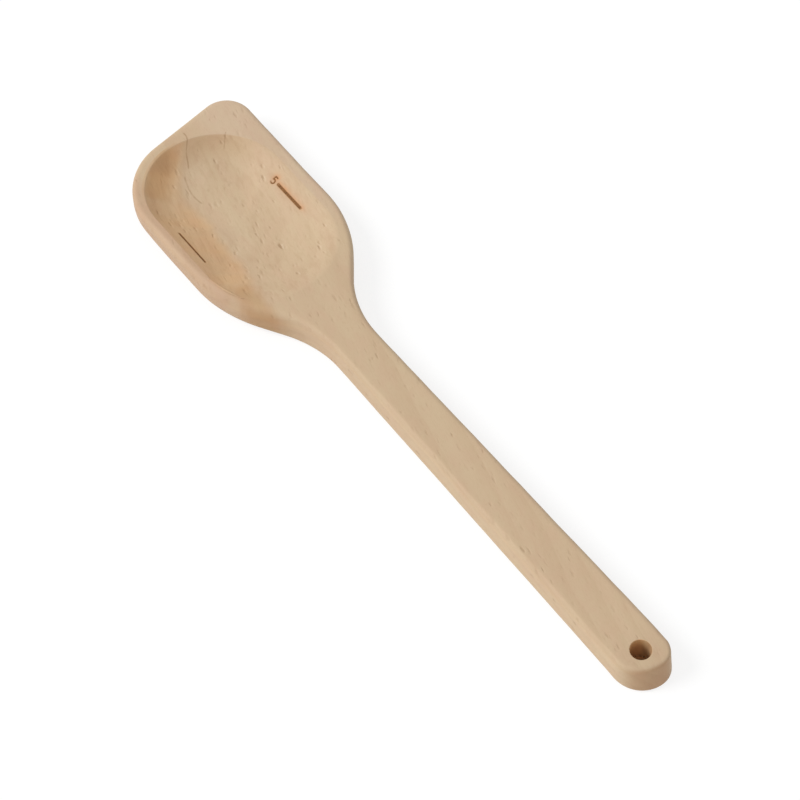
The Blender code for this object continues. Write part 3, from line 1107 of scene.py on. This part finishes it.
def growth_line(tree, apart, line, half_width):
    """Strength of a dark line in the wood that runs through points of station and Y.

    A curve turns X into the line's Y. The line is full close to that Y, gone at half its
    width from it, and fades at both ends and towards the board's underside.
    """
    stations, sides = np.array(line).T * 1000
    first, last = stations.min(), stations.max()
    along = maths(tree, "SUBTRACT", apart.outputs[0], first + cad_low.x * 1000)
    share = maths(tree, "DIVIDE", along, last - first)
    curve = add_node(tree, "ShaderNodeFloatCurve", 1.0, share)
    points = curve.mapping.curves[0].points
    whole = 2 * GROWTH_REACH
    spots = sorted(zip((stations - first) / (last - first), (sides + GROWTH_REACH) / whole))
    points[0].location, points[1].location = spots[0], spots[-1]
    for spot in spots[1:-1]:
        points.new(*spot)
    curve.mapping.update()
    middle = maths(tree, "SUBTRACT", maths(tree, "MULTIPLY", curve.outputs[0], whole), GROWTH_REACH)
    away = maths(tree, "ABSOLUTE", maths(tree, "SUBTRACT", apart.outputs[1], middle))
    strength = falls(tree, away, 0.25 * half_width, half_width)
    ends = maths(tree, "MULTIPLY", rises(tree, share, 0.0, 0.08), falls(tree, share, 0.92, 1.0))
    strength = maths(tree, "MULTIPLY", strength, ends)
    return maths(tree, "MULTIPLY", strength, rises(tree, apart.outputs[2], *GROWTH_START))


def along_fibre(tree, place):
    """Millimetres along, across and through the fibre, which sways slowly from straight."""
    turned = result_of(tree, "ShaderNodeMapping", place, None, (0, 0, FIBRE_ANGLE))
    waves = noise(tree, turned, SWAY_CELL, (2, 4, 6), detail=1.0, output="Color")
    centred = vector_maths(tree, "SUBTRACT", waves, (0.5, 0.5, 0.5))
    return vector_maths(tree, "ADD", turned, vector_maths(tree, "MULTIPLY", centred, FIBRE_SWAY))


def late_wood(tree, fibre):
    """Dark late wood: in each growth ring it builds up slowly, and it stops where the next begins.

    The ring is the distance from the tree's heart over the rings' width, less its whole part.
    """
    apart = add_node(tree, "ShaderNodeSeparateXYZ", fibre)
    aside = maths(tree, "SUBTRACT", apart.outputs[1], HEART_ASIDE)
    above = maths(tree, "ADD", apart.outputs[2], HEART_BELOW)
    squares = maths(tree, "MULTIPLY_ADD", aside, aside, maths(tree, "MULTIPLY", above, above))
    ring = maths(tree, "FRACT", maths(tree, "DIVIDE", maths(tree, "SQRT", squares), RING_WIDTH))
    return maths(tree, "MULTIPLY", rises(tree, ring, 0.30, 0.95), falls(tree, ring, 0.955, 1.0))


def ray_flecks(tree, fibre):
    """Short spindles along the fibre, a few strong and many faint, in two sizes and in loose groups.

    Each is the middle of a long cell, whose edge a finer pattern makes ragged. Its strength is
    the cell's own chance to the power of its rarity.
    """
    ragged = noise(tree, fibre, RAGGED_CELL, output="Color")
    shaken = vector_maths(tree, "MULTIPLY_ADD", ragged, FLECK_RAGGEDNESS, fibre)
    total = 0.0
    for length, width, shift, rarity in FLECKS:
        place = stretched(tree, shaken, (length, width, FLECK_THROUGH), shift)
        cells = add_node(tree, "ShaderNodeTexVoronoi", place, 1.0, feature="F1")
        core = falls(tree, cells.outputs["Distance"], 0.06, 0.31)
        chance = result_of(tree, "ShaderNodeSeparateColor", cells.outputs["Color"])
        core = maths(tree, "MULTIPLY", core, maths(tree, "POWER", chance, rarity))
        total = maths(tree, "MAXIMUM", total, core)
    groups = noise(tree, fibre, GROUP_CELL, (2, 9, 5), detail=1.0)
    return maths(tree, "MULTIPLY", total, rises(tree, groups, 0.38, 0.62, 0.28, 1.0))


def beech_material():
    """Sanded beech as a solid texture: slow drift, growth rings, streaks, torn fibre, flecks and pores.

    What is painted on the mesh then tints it, painted shade and light among it; pale flecks beside the
    dark ones are a painted highlight. The grain and the flecks roughen it.
    """
    material, tree, shader = new_material("sanded_beech")
    coordinates = add_node(tree, "ShaderNodeTexCoord")
    place = vector_maths(tree, "SCALE", coordinates.outputs["Object"], 1000.0)
    fibre = along_fibre(tree, place)
    carved = painted(tree, "carved")

    late = maths(tree, "MULTIPLY", late_wood(tree, fibre), 0.10)
    streaks = noise(tree, fibre, STREAK_CELL, (1, 7, 3), detail=3.0, roughness=0.55, distortion=0.3)
    streaks = stronger_where(tree, rises(tree, streaks, 0.52, 0.78), painted(tree, "rub"), 0.26, 0.10)
    torn = rises(tree, noise(tree, fibre, TORN_CELL, (4, 2, 8), detail=3.0, roughness=0.6), 0.45, 0.70)
    torn = stronger_where(tree, torn, carved, 0.15, 0.04)
    # Pale flecks just beside the dark ones: a painted highlight, as if their edges stood up
    beside = ray_flecks(tree, vector_maths(tree, "ADD", fibre, HIGHLIGHT_ASIDE))
    beside = stronger_where(tree, beside, carved, 0.34, 0.14)
    flecks = ray_flecks(tree, fibre)
    pores = rises(tree, noise(tree, fibre, PORE_CELL, roughness=0.6), 0.5, 0.75, 0.0, 0.15)
    layers = [
        (late, BEECH_DARK),
        (streaks, BEECH_DARK),
        (torn, BEECH_DARK),
        (beside, FLECK_HIGHLIGHT),
        (stronger_where(tree, flecks, carved, 0.28, 0.46), FLECK),
        (pores, BEECH_DARK),
    ]
    apart = add_node(tree, "ShaderNodeSeparateXYZ", place)
    broken = rises(tree, noise(tree, place, BROKEN_CELL), 0.25, 0.6, 0.25, 1.0)
    for line, half_width, strength in GROWTH_LINES:
        share = maths(tree, "MULTIPLY", growth_line(tree, apart, line, half_width), strength)
        layers.append((maths(tree, "MULTIPLY", share, broken), FLECK))

    drift = rises(tree, noise(tree, fibre, DRIFT_CELL, detail=3.0), 0.33, 0.67)
    mottle = rises(tree, noise(tree, fibre, MOTTLE_CELL, (3, 1, 2)), 0.42, 0.62)
    facing = vector_maths(tree, "DOT_PRODUCT", coordinates.outputs["Normal"], FIBRE)
    end_grain = rises(tree, maths(tree, "ABSOLUTE", facing), 0.50, 1.0)
    colour = mix_colours(tree, drift, BEECH_PALE, BEECH_ROSY)
    colour = mix_colours(tree, mottle, colour, MOTTLED, "MULTIPLY")
    for share, layer in layers:
        colour = mix_colours(tree, share, colour, layer)
    colour = mix_colours(tree, end_grain, colour, END_GRAIN, "MULTIPLY")
    for name, tint in TINTS.items():
        colour = mix_colours(tree, painted(tree, name), colour, tint, "MULTIPLY")
    colour = mix_colours(tree, rises(tree, painted(tree, "scorch"), 0.15, 1.0), colour, SCORCHED)
    tree.links.new(colour, shader.inputs["Base Color"])

    grain = noise(tree, fibre, GRAIN_CELL, (5, 5, 5), detail=3.0, roughness=0.6)
    rough = result_of(tree, "ShaderNodeMapRange", grain, 0.2, 0.8, 0.52, 0.66)
    tree.links.new(rough, shader.inputs["Roughness"])
    height = maths(tree, "SUBTRACT", grain, maths(tree, "MULTIPLY", flecks, 6.0))
    add_bump(tree, shader, height, 0.35, 0.00006)
    shader.inputs["Specular IOR Level"].default_value = 0.30
    return material


def char_material():
    """Burned wood in the level lines: near black brown, patchy and dull."""
    material, tree, shader = new_material("burned_beech")
    place = add_node(tree, "ShaderNodeTexCoord").outputs["Object"]
    patches = noise(tree, place, CHAR_CELL, detail=3.0)
    colour = mix_colours(tree, rises(tree, patches, 0.3, 0.7), CHAR_DARK, CHAR_BROWN)
    tree.links.new(colour, shader.inputs["Base Color"])
    shader.inputs["Roughness"].default_value = 0.85
    add_bump(tree, shader, patches, 0.5, 0.00005)
    return material


def seen_by_eye(tree):
    """1 for rays straight from the camera, in a reflection or through glass, and 0 for light's own."""
    rays = add_node(tree, "ShaderNodeLightPath")
    indirect = maths(tree, "MAXIMUM", rays.outputs["Is Glossy Ray"], rays.outputs["Is Transmission Ray"])
    return maths(tree, "MAXIMUM", rays.outputs["Is Camera Ray"], indirect)


def paper_material():
    """White studio paper: plain diffuse for every other ray, and near white to the camera.

    Under the hanging hole it has no glow, and is painted a brown shade, for the light that the
    wood throws down there.
    """
    material, tree, shader = new_material("white_paper")
    shader.inputs["Base Color"].default_value = PAPER
    shader.inputs["Roughness"].default_value = 1.0
    shader.inputs["Specular IOR Level"].default_value = 0.0
    place = add_node(tree, "ShaderNodeTexCoord").outputs["Object"]
    hole = (to_world(hole_middle[0]), hole_middle[1], cad_low.z)
    clear = rises(tree, vector_maths(tree, "DISTANCE", place, hole), *UNDER_HOLE_EDGE)
    faint = result_of(tree, "ShaderNodeBsdfDiffuse", mix_colours(tree, clear, UNDER_HOLE_SHADE, PAPER_SEEN))
    glow = result_of(tree, "ShaderNodeEmission", (1, 1, 1, 1), maths(tree, "MULTIPLY", clear, PAPER_GLOW))
    seen = result_of(tree, "ShaderNodeAddShader", faint, glow)
    finish = result_of(tree, "ShaderNodeMixShader", seen_by_eye(tree), shader.outputs[0], seen)
    tree.links.new(finish, tree.nodes["Material Output"].inputs["Surface"])
    return material


# Studio


def add_floor():
    """A flat sheet of paper, its grid points at even steps both ways."""
    side = np.linspace(-FLOOR_HALF, FLOOR_HALF, FLOOR_STEPS + 1)
    x, y = np.meshgrid(side, side)
    points = np.stack([x, y, np.full_like(x, cad_low.z - FLOOR_DROP)], axis=-1)
    mesh = mesh_of("studio_floor", [(points, False, False)])
    mesh.materials.append(paper_material())
    floor = add_object("studio_floor", mesh)


def point_away(added, way):
    """Turns a lamp or a camera so that its back is towards this way."""
    added.rotation_mode = "QUATERNION"
    added.rotation_quaternion = way.to_track_quat("Z", "Y")


def add_key_light():
    sun = bpy.data.lights.new("key_light", "SUN")
    sun.energy = KEY_SHARE * math.pi / KEY_DIRECTION.z
    sun.angle = KEY_ANGLE
    point_away(add_object("key_light", sun), KEY_DIRECTION)


def set_sky():
    """Even white light from all round; the camera sees it as white."""
    world = bpy.data.worlds.new("studio_sky")
    bpy.context.scene.world = world
    world.use_nodes = True
    tree = world.node_tree
    strength = result_of(tree, "ShaderNodeMapRange", seen_by_eye(tree), 0.0, 1.0, SKY_SHARE, 1.0)
    background = tree.nodes["Background"]
    background.inputs["Color"].default_value = (1, 1, 1, 1)
    tree.links.new(strength, background.inputs["Strength"])


def add_camera():
    data = bpy.data.cameras.new("camera")
    data.lens = CAMERA_LENS
    data.clip_start, data.clip_end = CAMERA_CLIP
    camera = add_object("camera", data)
    back = Vector((
        math.cos(CAMERA_BEARING) * math.cos(CAMERA_ELEVATION),
        math.sin(CAMERA_BEARING) * math.cos(CAMERA_ELEVATION),
        math.sin(CAMERA_ELEVATION),
    ))
    camera.location = CAMERA_TARGET + back * CAMERA_DISTANCE
    point_away(camera, back)
    bpy.context.scene.camera = camera


beech, char = beech_material(), char_material()
body = add_piece("beech_body", body_mesh(), beech, "spatula_body")
surface = surface_of(body.data)
for paint_on in (paint_bowl, paint_stains, paint_top_tones, paint_burns, paint_bore):
    paint_on(body.data, surface)
for node, mark in MARKS.items():
    add_piece(node + "_char", ribbon_mesh(node + "_char", *mark), char, node)
add_floor()
add_key_light()
set_sky()
add_camera()
bpy.context.scene.view_settings.view_transform = "Standard"
